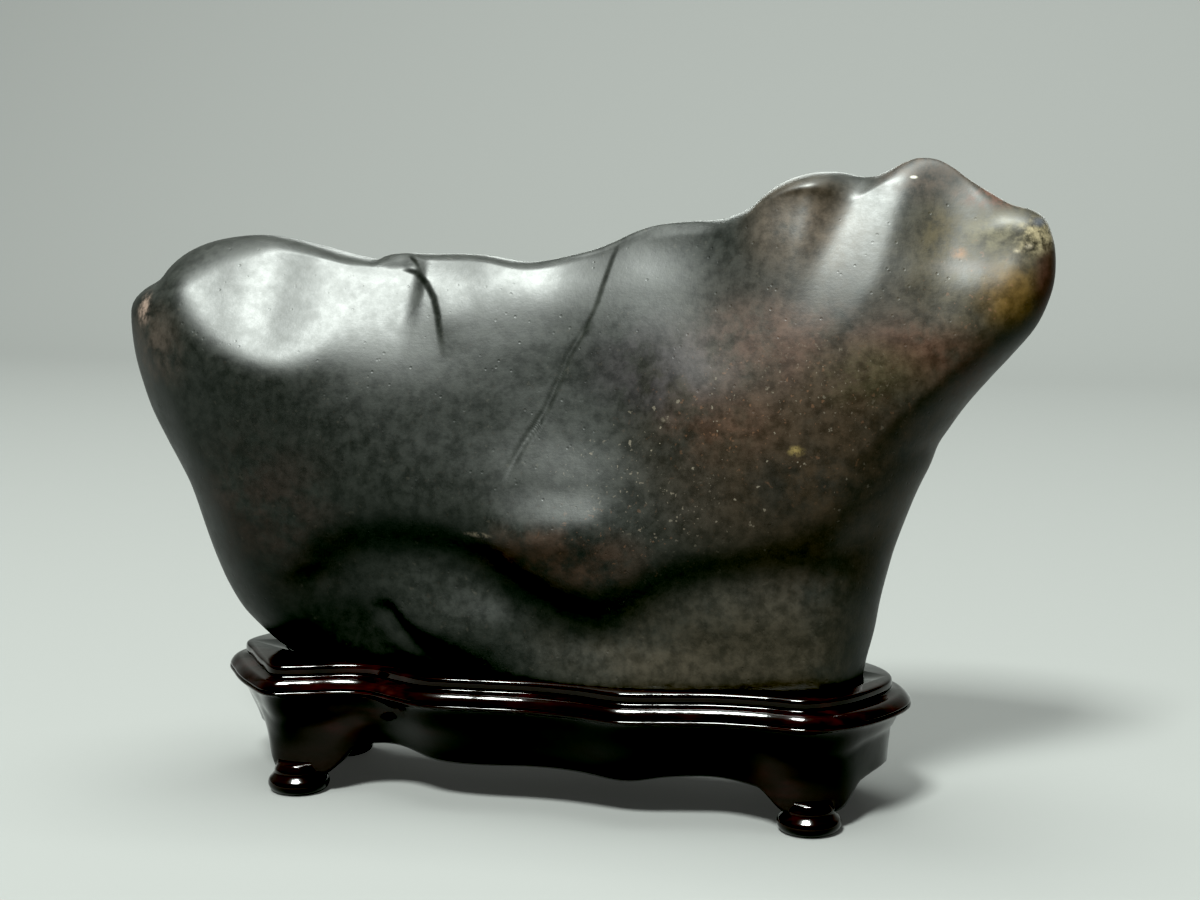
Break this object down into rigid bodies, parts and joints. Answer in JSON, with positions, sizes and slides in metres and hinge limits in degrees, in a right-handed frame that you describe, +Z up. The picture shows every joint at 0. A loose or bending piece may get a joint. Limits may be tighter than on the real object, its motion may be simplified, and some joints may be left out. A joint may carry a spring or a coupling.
{
  "type": "scholar's rock on stand",
  "caption": "Dark polished scholar's rock, broad and water-worn with a raised head at one end, resting upright in a fitted carved wooden stand on pad feet.",
  "frame": {"origin": "middle of the object's plan, on the surface the feet stand on", "axes": "+X along the stand towards the stone's raised head, -Y to the front face, +Z up"},
  "size_m": [0.2013, 0.0499, 0.1372],
  "materials": {
    "polished_dark_stone": "waxed and hand polished, satin gloss",
    "lacquered_dark_wood": "red-black gloss lacquer"
  },
  "bodies": {
    "root": {"stone": "polished_dark_stone", "stand": "lacquered_dark_wood"}
  },
  "joints": []
}
